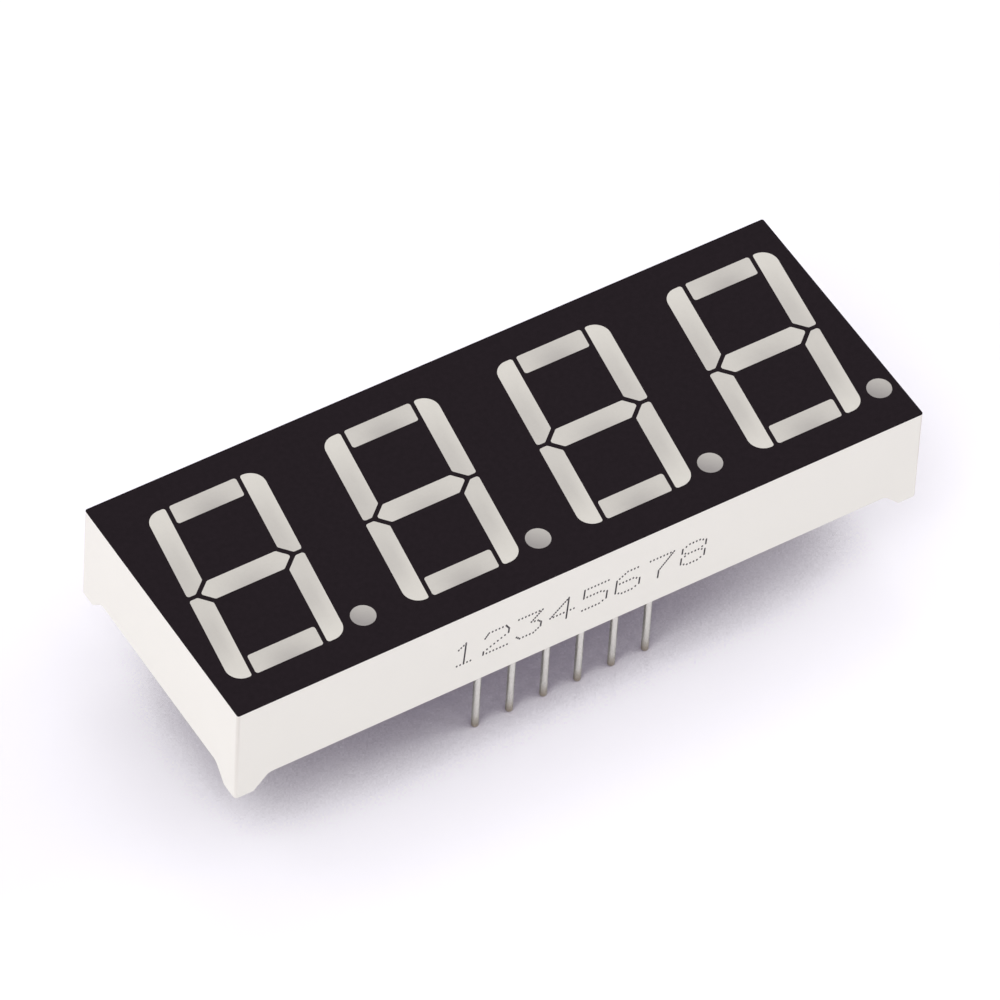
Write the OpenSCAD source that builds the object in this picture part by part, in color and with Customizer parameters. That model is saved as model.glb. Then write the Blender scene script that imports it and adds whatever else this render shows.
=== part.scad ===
// Seven segment LED display module: four digits with decimal points, twelve pins.
// Millimetres. The display face looks up (+Z), the digits read from the -Y side,
// and the module stands on the ends of its pins at z = 0.

/* [Moulding] */
// Length of the moulding at its display face
body_l = 50.2; // [50:0.1:64]
// Width of the moulding at its display face
body_w = 19; // [18.8:0.1:26]
// Height from the display face to the ends of the feet
body_h = 8; // [7.6:0.1:12]
// Thickness of the outer wall around the board
wall = 0.8; // [0.6:0.05:0.85]
// How far each side leans out from the face down to the feet, to leave the mould
draft = 0.12; // [0:0.01:0.3]
// Radius of the upright edges at the face
edge_r = 0.15; // [0.1:0.05:0.6]
// Radius of the upright corners inside the wall
well_r = 0.15; // [0.05:0.01:0.15]
// Thickness of the black coat on the face
coat_t = 0.06; // [0.03:0.01:0.12]

/* [Feet] */
// Height of the corner feet below the rim
foot_h = 1.18; // [0.8:0.02:1.6]
// Flat length of a foot, from the corner
foot_flat = 1.36; // [1.2:0.02:2]
// Length of a foot where it meets the rim, from the corner
foot_reach = 2.45; // [2.2:0.05:4]
// Radius at the end of a foot
foot_tip_r = 0.35; // [0.1:0.05:0.5]
// Radius where a foot runs into the rim
foot_root_r = 0.6; // [0.1:0.05:0.8]

/* [Digits] */
// Distance between digits
digit_pitch = 12.7; // [12.2:0.05:12.8]
// Height of a digit
digit_h = 14.3; // [11:0.1:14.6]
// Width of a digit, level with its base
digit_w = 8.23; // [7:0.01:8.4]
// Lean of the digits, in degrees
slant = 8; // [0:1:10]
// Sideways place of the row of digits on the face
digits_x = 0.06; // [-0.1:0.01:0.1]
// Place of the row of digits across the face
digits_y = 0.03; // [-0.1:0.01:0.1]
// Thickness of the level bars
bar_t = 1.52; // [1.2:0.02:1.7]
// Thickness of the uprights, level with the base
upright_t = 1.41; // [1.4:0.01:1.6]
// Gap between windows, end to end
window_gap = 0.3; // [0.2:0.01:0.5]
// Gap between the middle bar and the uprights, square across
middle_gap = 0.32; // [0.2:0.01:0.5]
// Length of the middle bar to its sharp tips
middle_l = 6.44; // [6:0.02:6.5]
// Radius of a digit's outer corners
corner_r = 1.05; // [0.3:0.05:1.05]
// Radius of the other window corners
window_r = 0.18; // [0.05:0.01:0.25]
// Diameter of the decimal point
dot_d = 1.65; // [1.2:0.05:1.7]
// Decimal point's place from the digit's centre
dot_x = 4.69; // [4.6:0.01:4.75]
// Decimal point's height from the digit's centre
dot_y = -6.38; // [-6.6:0.01:-6.2]

/* [Light cups] */
// Depth of the cups, from the moulding's face to their open floor
cup_depth = 4.6; // [4:0.1:5]
// Depth over which a cup keeps its window's outline
cup_land = 0.5; // [0.3:0.1:1]
// Length of a cup at its floor
cup_floor_l = 2.4; // [2.2:0.1:3]
// Width of a cup at its floor
cup_floor_w = 0.9; // [0.8:0.05:1.1]
// Diameter of the decimal point's cup at its floor
dot_floor_d = 1.1; // [1:0.05:1.1]

/* [Board] */
// Thickness of the board
board_t = 1; // [0.8:0.1:1.6]
// Clearance between the board's edge and the wall
board_gap = 0.1; // [0.05:0.05:0.3]
// Thickness of the resin film between the moulding and the board
film = 0.15; // [0.1:0.01:0.25]
// How far the resin stays below the rim
resin_drop = 0.35; // [0.1:0.05:0.6]
// Diameter of the two pegs that place the board
peg_d = 1.2; // [0.8:0.1:1.5]
// Clearance around a peg in its hole
peg_gap = 0.08; // [0.05:0.01:0.15]

/* [Copper] */
// Thickness of the copper
copper_t = 0.035; // [0.018:0.001:0.07]
// Width of a track
track_w = 0.2; // [0.15:0.01:0.25]
// Side of the pad under an LED chip
chip_pad = 0.5; // [0.4:0.05:0.55]
// Side of the pad under a decimal point's chip
dot_chip_pad = 0.3; // [0.26:0.01:0.32]
// Diameter of a via's hole
via_d = 0.3; // [0.2:0.05:0.3]
// Diameter of a via's pad, which also takes a bond wire
via_pad_d = 0.48; // [0.4:0.02:0.5]
// Diameter of a pin's pad
pin_pad_d = 0.95; // [0.9:0.01:1]

/* [Pins] */
// Diameter of a pin over its tin
pin_d = 0.5; // [0.4:0.05:0.6]
// Thickness of the tin on a pin's free part
tin_t = 0.01; // [0.005:0.001:0.02]
// How far below the resin the tin stops
tin_stop = 0.35; // [0.35:0.05:1]
// Distance between pins in a row
pin_pitch = 2.54; // [2:0.01:2.6]
// Distance between the two rows
row_gap = 15.24; // [15:0.01:15.5]
// Length of a pin below the feet
pin_out = 6.3; // [3:0.1:12]
// Length of a pin that stands past the board
pin_head = 0.35; // [0.2:0.05:0.5]
// Radius at the end of a pin
pin_end_r = 0.12; // [0.02:0.01:0.2]
// Clearance between a pin and its plated hole, filled with solder
pin_gap = 0.12; // [0.08:0.01:0.15]

/* [LED chips] */
// Side of an LED chip
chip_w = 0.25; // [0.2:0.01:0.3]
// Height of an LED chip
chip_h = 0.2; // [0.15:0.01:0.3]
// Thickness of the glue under an LED chip
glue_t = 0.02; // [0.01:0.005:0.04]
// Diameter of a bond wire
wire_d = 0.03; // [0.025:0.001:0.05]
// Reach of a bond wire
wire_reach = 0.75; // [0.7:0.01:0.8]
// Reach of the decimal point's bond wire
dot_wire_reach = 0.46; // [0.45:0.01:0.48]

/* [Hidden] */
$fn = 48;
DIGITS = [1, 2, 3, 4];
SEGMENTS = ["a", "b", "c", "d", "e", "f", "g", "dp"];
PIN_COUNT = 12;
function two_figures(n) = str(n < 10 ? "0" : "", n);
PIN_NAMES = [for (n = [1 : PIN_COUNT]) str("pin_", two_figures(n))];
CHIP_NAMES = [for (d = DIGITS) for (s = SEGMENTS) str("led_chip_", d, s)];
WIRE_NAMES = [for (d = DIGITS) str("bond_wires_", d)];

// Levels, from the pin ends up to the face
z_feet = pin_out;
z_rim = z_feet + foot_h;
z_resin = z_rim + resin_drop;
z_face = z_feet + body_h;
z_moulding = z_face - coat_t;
z_land = z_moulding - cup_land;
z_cup_floor = z_moulding - cup_depth;
z_board_top = z_cup_floor - film;
z_board_low = z_board_top - board_t;
z_copper_top = z_board_top + copper_t;
z_copper_low = z_board_low - copper_t;
z_chip = z_copper_top + glue_t;
z_chip_top = z_chip + chip_h;
z_pin_top = z_board_top + pin_head;
z_tin = z_resin - tin_stop;
// Cutters run past the faces that they open by this much
over = 0.5;
// Two bodies that are joined overlap by this much
bite = 0.05;
// Angle between a rounded corner's arc and its sides
arc_kiss = 3;
// Least clearance between two copper lines
copper_gap = 0.07;
// Overlap of a track and the pad that it ends on
pad_bite = 0.02;

// Half sizes of the moulding at the feet, and inside its wall
foot_half_l = body_l / 2 + draft;
foot_half_w = body_w / 2 + draft;
well_l = body_l - 2 * wall;
well_w = body_w - 2 * wall;
board_l = well_l - 2 * board_gap;
board_w = well_w - 2 * board_gap;
// Depth of the pockets over the pins' heads, and their width
pocket_room = 0.2;
pocket_h = pin_head + pocket_room;
pocket_d = pin_d + 2 * pocket_room;
// The two pegs stand between the digits, clear of the tracks
peg_y = 1.45;
PEGS = [[-digit_pitch, -peg_y], [digit_pitch, peg_y]];
peg_shoulder = 0.3;
peg_shoulder_d = peg_d + 2 * peg_shoulder;
// The board also rests on four small ledges in the corners of the well
ledge_r = 0.9;

// Outline of a digit before it leans: half sizes, and where its windows end
half_h = digit_h / 2;
half_w = digit_w / 2;
upright_in = half_w - upright_t;
bar_half = upright_in - window_gap;
gap_half = window_gap / 2;
middle_half = middle_l / 2;
// An upright's slanting end lies on |x| + |y| = cut
cut = middle_half + middle_gap * sqrt(2);
upright_mid = (half_h + gap_half) / 2;
bar_mid = half_h - bar_t / 2;

function leaning(p) = [p[0] + tan(slant) * p[1], p[1]];
function digit_centre(d) = [digits_x + (d - 2.5) * digit_pitch, digits_y];
// Mirrors an outline and keeps it counter-clockwise
function flipped(points, sx, sy) =
    let (n = len(points))
    [for (i = [0 : n - 1]) let (p = points[sx * sy < 0 ? n - 1 - i : i]) [sx * p[0], sy * p[1]]];
function reordered(radii, sx, sy) =
    let (n = len(radii)) [for (i = [0 : n - 1]) radii[sx * sy < 0 ? n - 1 - i : i]];

UPRIGHT = [[-half_w, half_h], [-half_w, gap_half], [gap_half - cut, gap_half],
           [-upright_in, cut - upright_in], [-upright_in, half_h]];
UPRIGHT_R = [corner_r, window_r, window_r, window_r, window_r];
BAR = [[-bar_half, half_h - bar_t], [bar_half, half_h - bar_t],
       [bar_half, half_h], [-bar_half, half_h]];
BAR_R = [for (p = BAR) window_r];
MIDDLE = [[-middle_half, 0], [bar_t / 2 - middle_half, -bar_t / 2],
          [middle_half - bar_t / 2, -bar_t / 2], [middle_half, 0],
          [middle_half - bar_t / 2, bar_t / 2], [bar_t / 2 - middle_half, bar_t / 2]];
MIDDLE_R = [for (p = MIDDLE) window_r];

// Each segment: outline, which way it is mirrored, and its middle before it leans
UPRIGHT_MIDDLE = [-half_w + upright_t / 2, upright_mid];
function segment_flip(s) =
    s == "b" ? [-1, 1] : s == "c" ? [-1, -1] : s == "d" ? [-1, -1] : s == "e" ? [1, -1] : [1, 1];
function is_bar(s) = s == "a" || s == "d";
function base_outline(s) = is_bar(s) ? BAR : s == "g" ? MIDDLE : UPRIGHT;
function base_radii(s) = is_bar(s) ? BAR_R : s == "g" ? MIDDLE_R : UPRIGHT_R;
function base_middle(s) = is_bar(s) ? [0, bar_mid] : s == "g" ? [0, 0] : UPRIGHT_MIDDLE;
function is_upright(s) = !is_bar(s) && s != "g" && s != "dp";
function outline(s) =
    let (f = segment_flip(s)) [for (p = flipped(base_outline(s), f[0], f[1])) leaning(p)];
function radii(s) = let (f = segment_flip(s)) reordered(base_radii(s), f[0], f[1]);
function chip_place(s) =
    s == "dp" ? [dot_x, dot_y]
    : let (f = segment_flip(s), m = base_middle(s)) leaning([f[0] * m[0], f[1] * m[1]]);
function half_length(s) = is_bar(s) ? bar_half : s == "g" ? middle_half : (half_h - gap_half) / 2;
function half_width(s) = is_upright(s) ? upright_t * cos(slant) / 2 : bar_t / 2;

// Direction from an LED chip to the pad of its bond wire, in degrees
function wire_turn(s) =
    s == "a" ? 0 : s == "b" ? 90 - slant : s == "c" ? 90 - slant : s == "d" ? 180
    : s == "e" ? -90 - slant : s == "f" ? -90 - slant : s == "g" ? 180 : -90;
function reach(s) = s == "dp" ? dot_wire_reach : wire_reach;
function wire_pad(s) = chip_place(s) + reach(s) * [cos(wire_turn(s)), sin(wire_turn(s))];

// Pins run 1 to 6 along the front row, left to right, and 7 to 12 back along the rear row
row_count = PIN_COUNT / 2;
function pin_place(n) =
    n <= row_count ? [(n - (row_count + 1) / 2) * pin_pitch, -row_gap / 2]
                   : [((row_count + 1) / 2 - (n - row_count)) * pin_pitch, row_gap / 2];
// What each pin feeds: a segment line, or the common line of a digit
PIN_OF = [["e", 1], ["d", 2], ["dp", 3], ["c", 4], ["g", 5], ["b", 7], ["f", 10], ["a", 11]];
function pin_of(s) = [for (p = PIN_OF) if (p[0] == s) p[1]][0];
DIGIT_PIN = [12, 9, 8, 6];

// ---- Shapes ----------------------------------------------------------------

// What rounding the corner p, between the points before and after it, takes off.
// The arc crosses the two sides at the small angle arc_kiss, which keeps its ends exact.
module corner_waste(before, p, after, r) {
    a = (before - p) / norm(before - p);
    b = (after - p) / norm(after - p);
    half_angle = acos(a * b) / 2;
    reach_in = r * cos(arc_kiss);
    centre = p + (a + b) / norm(a + b) * reach_in / sin(half_angle);
    run = reach_in / tan(half_angle);
    beyond = 1.3;
    difference() {
        polygon([centre,
                 centre + (p + a * run - centre) * beyond,
                 centre + (p - centre) * beyond,
                 centre + (p + b * run - centre) * beyond]);
        translate(centre) circle(r);
    }
}

// A convex outline with each corner rounded to its own radius
module rounded_outline(points, corner_radii) {
    n = len(points);
    difference() {
        polygon(points);
        for (i = [0 : n - 1])
            corner_waste(points[(i + n - 1) % n], points[i], points[(i + 1) % n], corner_radii[i]);
    }
}

module rounded_rectangle(l, w, r) {
    rounded_outline([[-l / 2, -w / 2], [l / 2, -w / 2], [l / 2, w / 2], [-l / 2, w / 2]],
                    [r, r, r, r]);
}

// How far a side leans out at the level z
function lean(z) = draft * (z_face - z) / body_h;

function upright_trapezoid(half_low, half_high, z_low, z_high) =
    [[-half_low, z_low], [half_low, z_low], [half_high, z_high], [-half_high, z_high]];

// A slice of the drafted block: four leaning planes, and a cone at each upright edge
module drafted_block(z_low, z_high) {
    core_l = body_l / 2 - edge_r;
    core_w = body_w / 2 - edge_r;
    r_low = edge_r + lean(z_low);
    r_high = edge_r + lean(z_high);
    rotate([90, 0, 0]) linear_extrude(2 * core_w, center = true)
        polygon(upright_trapezoid(core_l + r_low, core_l + r_high, z_low, z_high));
    rotate([90, 0, 90]) linear_extrude(2 * core_l, center = true)
        polygon(upright_trapezoid(core_w + r_low, core_w + r_high, z_low, z_high));
    for (sx = [-1, 1]) for (sy = [-1, 1])
        translate([sx * core_l, sy * core_w, z_low])
            cylinder(h = z_high - z_low, r1 = r_low, r2 = r_high);
}

// Side view of the space between two feet, up to the rim
module foot_relief(half, length) {
    foot_in = half - foot_flat;
    rim_in = half - foot_reach;
    fall = foot_h / (foot_reach - foot_flat);
    wide = foot_in + over / fall;
    outer = [half, z_feet];
    foot = [foot_in, z_feet];
    root = [rim_in, z_rim];
    sharp = 0.01;
    linear_extrude(length, center = true) {
        rounded_outline([[-wide, z_feet - over], [wide, z_feet - over], root, [-rim_in, z_rim]],
                        [sharp, sharp, foot_root_r, foot_root_r]);
        for (side = [0, 1])
            mirror([side, 0]) corner_waste(root, foot, outer, foot_tip_r);
    }
}

// The outline of a segment's window, over a range of levels
module window(s, z_low, z_high) {
    translate([0, 0, z_low]) linear_extrude(z_high - z_low) {
        if (s == "dp") translate([dot_x, dot_y]) circle(d = dot_d);
        else rounded_outline(outline(s), radii(s));
    }
}

// Half size of a cup at the level z: it narrows in a straight line from its land to its floor
function cup_half(half_land, half_floor, z) =
    half_floor + (half_land - half_floor) * (z - z_cup_floor) / (z_land - z_cup_floor);

module cup_prism(half_land, half_floor, length, z_low, z_high) {
    linear_extrude(length, center = true)
        polygon(upright_trapezoid(cup_half(half_land, half_floor, z_low),
                                  cup_half(half_land, half_floor, z_high), z_low, z_high));
}

// One light cup: the window's outline, cut to its tapering sides and ends
module segment_cup(s, z_low, z_high) {
    long = half_length(s);
    wide = half_width(s);
    turn = is_upright(s) ? 90 - slant : 0;
    intersection() {
        window(s, z_low, z_high);
        translate(chip_place(s)) rotate([90, 0, 90 + turn])
            cup_prism(wide, cup_floor_w / 2, 2 * digit_h, z_low, z_high);
        translate(chip_place(s)) rotate([90, 0, turn])
            cup_prism(long, cup_floor_l / 2, 2 * digit_w, z_low, z_high);
    }
}

module dot_cup(z_low, z_high) {
    r = dot_d / 2;
    r_low = cup_half(r, dot_floor_d / 2, z_low);
    translate([dot_x, dot_y]) rotate_extrude()
        polygon([[0, z_low], [r_low, z_low], [r, z_land], [r, z_high], [0, z_high]]);
}

// All the cups, from just below their floors up to z_high
module cups(z_high) {
    z_low = z_cup_floor - bite;
    for (d = DIGITS) translate(digit_centre(d)) {
        for (s = SEGMENTS)
            if (s != "dp") segment_cup(s, z_low, z_high);
        dot_cup(z_low, z_high);
    }
}

// The space behind the cups, inside the wall
module well(z_low) {
    translate([0, 0, z_low]) linear_extrude(z_cup_floor - z_low)
        rounded_rectangle(well_l, well_w, well_r);
}

module at_pins() {
    for (n = [1 : PIN_COUNT]) translate(pin_place(n)) children();
}

module pin_pockets() {
    at_pins() translate([0, 0, z_cup_floor - bite])
        cylinder(h = pocket_h + bite, d = pocket_d);
}

// Pegs with their shoulders, and the corner ledges, that carry the board
module board_seats(rise) {
    for (p = PEGS) translate(p) {
        translate([0, 0, z_board_low + bite])
            cylinder(h = z_cup_floor - z_board_low - bite + rise, d = peg_d);
        translate([0, 0, z_board_top]) cylinder(h = film + rise, d = peg_shoulder_d);
    }
    intersection() {
        for (sx = [-1, 1]) for (sy = [-1, 1])
            translate([sx * well_l / 2, sy * well_w / 2, z_board_top])
                cylinder(h = film + rise, r = ledge_r);
        translate([-body_l / 2, -body_w / 2, z_board_top]) cube([body_l, body_w, film + rise]);
    }
}

// ---- Moulding, coat and resin ----------------------------------------------

module reflector_shell() {
    color([0.93, 0.92, 0.9]) {
        difference() {
            drafted_block(z_feet, z_moulding);
            well(z_feet - over);
            cups(z_moulding + over);
            pin_pockets();
            rotate([90, 0, 0]) foot_relief(foot_half_l, 2 * body_w);
            rotate([90, 0, 90]) foot_relief(foot_half_w, 2 * body_l);
        }
        board_seats(bite);
    }
}

module black_face() {
    color([0.13, 0.12, 0.13]) difference() {
        drafted_block(z_moulding, z_face);
        for (d = DIGITS) translate(digit_centre(d))
            for (s = SEGMENTS) window(s, z_moulding - over, z_face + over);
    }
}

module epoxy_fill() {
    color([0.8, 0.78, 0.76]) difference() {
        union() {
            well(z_resin);
            cups(z_face);
            pin_pockets();
        }
        board_seats(0);
        board_slab();
        copper_tracks();
        solder_joints();
        at_pins() pin_wire();
        for (d = DIGITS) {
            for (s = SEGMENTS) {
                chip_body(d, s);
                glue_spot(d, s);
                bond_wire(d, s);
            }
        }
    }
}

// ---- Board and copper ------------------------------------------------------

module board_slab() {
    translate([-board_l / 2, -board_w / 2, z_board_low]) cube([board_l, board_w, board_t]);
}

pin_hole_d = pin_d + 2 * pin_gap;
plated_d = pin_hole_d + 2 * copper_t;

// Vias that carry a segment's line from a track on the front to its line on the back
g_track_x = pin_place(4)[0] + pin_pad_d / 2 + track_w / 2 + copper_gap;
function line_y(s) = digits_y + wire_pad(s)[1];
function front_track_x(s) = s == "g" ? g_track_x : pin_place(pin_of(s))[0];
function fed_on_back(s) = s == "a" || s == "dp";
FRONT_FED = [for (s = SEGMENTS) if (!fed_on_back(s)) s];

module at_vias() {
    for (s = SEGMENTS) for (d = DIGITS) translate(digit_centre(d) + wire_pad(s)) children();
    for (s = FRONT_FED) translate([front_track_x(s), line_y(s)]) children();
}

module circuit_board() {
    color([0.42, 0.5, 0.3]) difference() {
        board_slab();
        translate([0, 0, z_board_low - over]) {
            at_pins() cylinder(h = board_t + 2 * over, d = plated_d);
            at_vias() cylinder(h = board_t + 2 * over, d = via_d);
            for (p = PEGS) translate(p) cylinder(h = board_t + 2 * over, d = peg_d + 2 * peg_gap);
        }
    }
}

// A straight track between two points
module track(from, to) {
    run = to - from;
    translate(from) rotate(atan2(run[1], run[0]))
        translate([-track_w / 2, -track_w / 2]) square([norm(run) + track_w, track_w]);
}

// Tracks through a list of points
module route(points) {
    for (i = [1 : len(points) - 1]) track(points[i - 1], points[i]);
}

// A track stops this far from a pin's middle, on the pin's pad
near_pin = (pin_hole_d + track_w) / 2 + pad_bite;
function toward(pin, y) = [pin[0], pin[1] + sign(y - pin[1]) * near_pin];

// A segment's line along the back, and its short way to a pin where it is the outermost line
module back_line(s) {
    y = line_y(s);
    pin = pin_place(pin_of(s));
    track([digit_centre(DIGITS[0])[0] + wire_pad(s)[0], y],
          [digit_centre(DIGITS[3])[0] + wire_pad(s)[0], y]);
    if (fed_on_back(s)) track(toward(pin, y), [pin[0], y]);
}

// The other segments' ways from their pins, on the front, to the via on their line
module front_feed(s) {
    y = line_y(s);
    pin = pin_place(pin_of(s));
    if (s == "g") route([pin - [near_pin, 0], [g_track_x, pin[1]], [g_track_x, y]]);
    else track(toward(pin, y), [pin[0], y]);
}

// A digit's common line on the front: a leaning spine, two cross tracks and the point's branch
module common_line(d) {
    pin = pin_place(DIGIT_PIN[d - 1]);
    function at(s) = digit_centre(d) + chip_place(s);
    track(at("a"), at("d"));
    track(at("f"), at("b"));
    track(at("e"), at("c"));
    route([at("c"), [at("dp")[0], at("c")[1]], at("dp")]);
    for (s = SEGMENTS)
        translate(at(s)) square(s == "dp" ? dot_chip_pad : chip_pad, center = true);
    if (d == 1) route([at("a"), [at("a")[0], pin[1]], pin - [near_pin, 0]]);
    if (d == 2) {
        below_f = line_y("f") - via_pad_d / 2 - 2 * track_w;
        route([at("b"), [at("b")[0], below_f], [pin[0], below_f], toward(pin, 0)]);
    }
    if (d == 3) track([pin[0], at("f")[1]], toward(pin, 0));
    if (d == 4) route([at("d"), [at("d")[0], pin[1]], pin + [near_pin, 0]]);
}

// Pads that both sides have
module pads() {
    at_vias() circle(d = via_pad_d);
    at_pins() circle(d = pin_pad_d);
}

module front_copper() {
    difference() {
        union() {
            pads();
            for (s = FRONT_FED) front_feed(s);
            for (d = DIGITS) common_line(d);
        }
        at_pins() circle(d = pin_hole_d);
    }
}

module back_copper() {
    difference() {
        union() {
            pads();
            for (s = SEGMENTS) back_line(s);
        }
        at_pins() circle(d = pin_hole_d);
    }
}

// Twelve separate lines: etched copper on both sides, joined by filled vias and plated holes
module copper_tracks() {
    color([0.8, 0.5, 0.3]) {
        translate([0, 0, z_board_top]) linear_extrude(copper_t) front_copper();
        translate([0, 0, z_copper_low]) linear_extrude(copper_t) back_copper();
        translate([0, 0, z_copper_low]) linear_extrude(board_t + 2 * copper_t) {
            at_vias() circle(d = via_d);
            at_pins() difference() {
                circle(d = plated_d);
                circle(d = pin_hole_d);
            }
        }
    }
}

// ---- Pins and solder -------------------------------------------------------

pin_r = pin_d / 2;
pin_wire_r = pin_r - tin_t;

// The bare wire of a pin where the resin and the solder hold it
module pin_wire() {
    translate([0, 0, z_tin]) cylinder(h = z_pin_top - z_tin, r = pin_wire_r);
}

// A wire whose free part is dipped in tin, which stops short of the resin.
// It is turned tip up, as it is dipped, and then stood on its tip.
module pin(n) {
    color([0.75, 0.74, 0.72]) translate(pin_place(n)) rotate([180, 0, 0])
        rotate_extrude() difference() {
            polygon([[0, 0], [0, -z_pin_top], [pin_wire_r, -z_pin_top],
                     [pin_wire_r, -z_tin], [pin_r, -z_tin], [pin_r, 0]]);
            corner_waste([0, 0], [pin_r, 0], [pin_r, -z_tin], pin_end_r);
        }
}

// Solder fills the plated hole around the pin, with a cone of it on each side
module solder_joints() {
    back_h = 0.4;
    front_h = 0.15;
    neck = 0.05;
    bare_edge = 0.03;
    base_d = pin_pad_d - 2 * bare_edge;
    color([0.7, 0.71, 0.72]) at_pins() difference() {
        union() {
            translate([0, 0, z_copper_low - back_h])
                cylinder(h = back_h, d1 = pin_d + 2 * neck, d2 = base_d);
            translate([0, 0, z_copper_low])
                cylinder(h = z_copper_top - z_copper_low, d = pin_hole_d);
            translate([0, 0, z_copper_top])
                cylinder(h = front_h, d1 = base_d, d2 = pin_d + 2 * neck);
        }
        pin_wire();
    }
}

// ---- LED chips -------------------------------------------------------------

module on_chip(d, s) {
    translate(digit_centre(d) + chip_place(s)) rotate(is_upright(s) ? -slant : 0) children();
}

module chip_body(d, s) {
    on_chip(d, s) translate([-chip_w / 2, -chip_w / 2, z_chip]) cube([chip_w, chip_w, chip_h]);
}

module led_chip(d, s) {
    color([0.85, 0.55, 0.3]) chip_body(d, s);
}

// The glue's spot is half as wide again as its chip
glue_d = chip_w * 1.5;

module glue_spot(d, s) {
    on_chip(d, s) translate([0, 0, z_copper_top]) cylinder(h = glue_t, d = glue_d);
}

module die_glue() {
    color([0.6, 0.6, 0.6])
        for (d = DIGITS) for (s = SEGMENTS) glue_spot(d, s);
}

// A bond wire: a ball on the chip, a half ring over to the pad, and a leg down to its foot
module bond_wire(d, s) {
    ball_h = 0.03;
    ball_d = 3 * wire_d;
    heel_h = 0.015;
    z_ring = z_chip_top + ball_h;
    ring_r = reach(s) / 2;
    translate(digit_centre(d) + chip_place(s)) rotate(wire_turn(s)) {
        translate([0, 0, z_chip_top]) cylinder(h = ball_h, d = ball_d);
        translate([ring_r, 0, z_ring]) rotate([90, 0, 0])
            rotate_extrude(angle = 180) translate([ring_r, 0]) circle(d = wire_d);
        translate([2 * ring_r, 0, z_copper_top]) {
            cylinder(h = z_ring - z_copper_top, d = wire_d);
            cylinder(h = heel_h, d = ball_d);
        }
    }
}

module bond_wires(d) {
    color([0.9, 0.75, 0.35])
        for (s = SEGMENTS) bond_wire(d, s);
}

reflector_shell();
black_face();
epoxy_fill();
circuit_board();
copper_tracks();
solder_joints();
die_glue();
for (n = [1 : PIN_COUNT])
    pin(n);
for (d = DIGITS) for (s = SEGMENTS)
    led_chip(d, s);
for (d = DIGITS)
    bond_wires(d);
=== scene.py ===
"""Looks of a four digit, seven segment display module, built around its packed CAD frame.

Every piece is in metres, in the frame's own axes: the display face looks up (+Z), the digits read
from the -Y side, and the module stands on the ends of its pins at z = 0.
"""

import math

import bmesh
import bpy
from bpy.props import FloatProperty, FloatVectorProperty, PointerProperty, StringProperty
from bpy.types import Operator, Panel, PropertyGroup
from mathutils import Matrix, Vector
from mathutils.kdtree import KDTree


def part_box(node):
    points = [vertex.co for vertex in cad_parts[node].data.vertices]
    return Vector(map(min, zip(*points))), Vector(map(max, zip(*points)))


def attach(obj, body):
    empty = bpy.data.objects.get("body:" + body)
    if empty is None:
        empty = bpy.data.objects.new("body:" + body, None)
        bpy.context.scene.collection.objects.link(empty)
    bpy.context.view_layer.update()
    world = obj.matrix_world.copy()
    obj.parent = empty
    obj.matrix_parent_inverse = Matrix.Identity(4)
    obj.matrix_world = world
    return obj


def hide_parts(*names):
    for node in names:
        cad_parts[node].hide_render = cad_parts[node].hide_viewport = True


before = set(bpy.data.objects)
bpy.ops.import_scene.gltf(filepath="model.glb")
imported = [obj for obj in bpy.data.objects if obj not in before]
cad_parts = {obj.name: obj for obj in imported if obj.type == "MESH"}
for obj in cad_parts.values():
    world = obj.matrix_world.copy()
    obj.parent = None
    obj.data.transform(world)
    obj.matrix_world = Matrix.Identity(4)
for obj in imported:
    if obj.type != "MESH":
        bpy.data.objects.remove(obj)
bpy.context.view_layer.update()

bl_info = {
    "name": "Seven segment display finishes",
    "version": (1, 0, 0),
    "blender": (4, 5, 0),
    "location": "3D View > Sidebar > Display",
    "description": "Finishes, resin, side mark and studio for a four digit display module",
    "category": "Object",
}

MM = 0.001
BODY = "root"
# Loose triangles of a CAD node are welded at this distance
WELD = 1e-7
# A face or point lies on a level if it is this near to it
FLAT = 1e-6
# A face looks straight up or down if its normal's Z is past this
STEEP = 0.99

DIGITS = (1, 2, 3, 4)
SEGMENTS = ("a", "b", "c", "d", "e", "f", "g", "dp")
PINS = [name for name in sorted(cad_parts) if name.startswith("pin_")]
CHIPS = [f"led_chip_{d}{s}" for d in DIGITS for s in SEGMENTS]
WIRES = [f"bond_wires_{d}" for d in DIGITS]

FACE_LOW, FACE_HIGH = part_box("black_face")
SHELL_LOW, SHELL_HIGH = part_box("reflector_shell")
RESIN_LOW, RESIN_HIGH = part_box("epoxy_fill")
COPPER_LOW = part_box("copper_tracks")[0]
WIRE_TOP = max(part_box(name)[1].z for name in WIRES)


def box_middle(node):
    """The middle of a CAD node's box."""
    low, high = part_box(node)
    return (low + high) / 2


def digit_lean():
    """How far a digit leans for each unit of its height, from its chips' places."""
    top, low = box_middle("led_chip_1a"), box_middle("led_chip_1d")
    return (top.x - low.x) / (top.y - low.y)


DIGIT_LEAN = digit_lean()
CHIP_MIDDLES = {name: box_middle(name).xy for name in CHIPS}


# ---- Sizes and colours a user would change -----------------------------------


def colour_property(name, description, default):
    """A colour swatch."""
    return FloatVectorProperty(
        name=name, description=description, subtype="COLOR", size=3, min=0, max=1, default=default
    )


def length_property(name, description, default):
    """A length, fine enough for microns."""
    return FloatProperty(
        name=name, description=description, unit="LENGTH", precision=6, min=0, default=default
    )


def share_property(name, description, default):
    """A share from 0 to 1."""
    return FloatProperty(
        name=name, description=description, subtype="FACTOR", min=0, max=1, default=default
    )


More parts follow.
